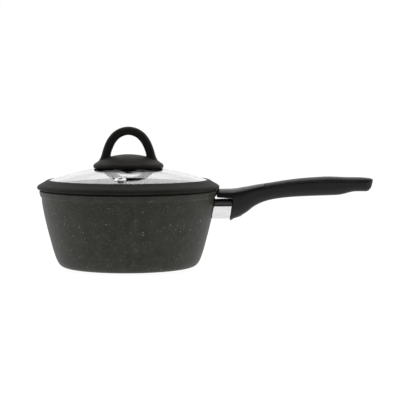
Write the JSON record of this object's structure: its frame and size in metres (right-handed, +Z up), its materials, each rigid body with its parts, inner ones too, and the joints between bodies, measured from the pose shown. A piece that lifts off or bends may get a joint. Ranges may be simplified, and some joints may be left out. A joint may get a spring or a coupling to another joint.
{
  "type": "saucepan with lid",
  "caption": "Tapered saucepan with a stone-look coating, a one-sided long handle and a domed glass lid with a wide silicone rim and an arched knob.",
  "frame": {"origin": "centre of the base, on the plane that the pot stands on", "axes": "+Z up, +X from the pot's axis along the handle, +Y to the left of the handle seen from the pot"},
  "size_m": [0.3505, 0.1906, 0.1462],
  "materials": {
    "stone_coating": "matt speckled stone-look non-stick coating",
    "steel": "plain stainless steel",
    "cast_aluminium": "bare cast aluminium",
    "polished_steel": "polished stainless steel",
    "phenolic": "satin black phenolic",
    "knob_phenolic": "semi-gloss black phenolic",
    "soft_touch": "dark grey soft-touch layer",
    "silicone": "matt dark grey silicone",
    "glass": "clear tempered glass",
    "brass": "turned brass"
  },
  "bodies": {
    "pot": {"pot_body": "stone_coating", "induction_plate": "steel", "handle_bracket": "cast_aluminium", "flame_guard": "polished_steel", "handle_body": "phenolic", "handle_inlay": "soft_touch", "handle_washer": "steel", "handle_lock_washer": "steel", "handle_screw": "steel"},
    "lid_seal": {"lid_rim_seal": "silicone"},
    "lid": {"lid_glass": "glass", "vent_eyelet": "polished_steel", "vent_washer": "steel", "lid_knob": "knob_phenolic", "knob_gasket": "silicone", "knob_insert": "brass", "knob_lower_gasket": "silicone", "knob_washer": "steel", "knob_screw": "steel"}
  },
  "joints": [
    {"name": "lid_lift", "type": "slide", "parent": "pot", "child": "lid_seal", "axis": [0, 0, 1], "range_m": [0, 0.12]},
    {"name": "lid_turn", "type": "hinge", "parent": "lid_seal", "child": "lid", "pos_m": [0, 0, 0.0896], "axis": [0, 0, 1], "continuous": true}
  ]
}
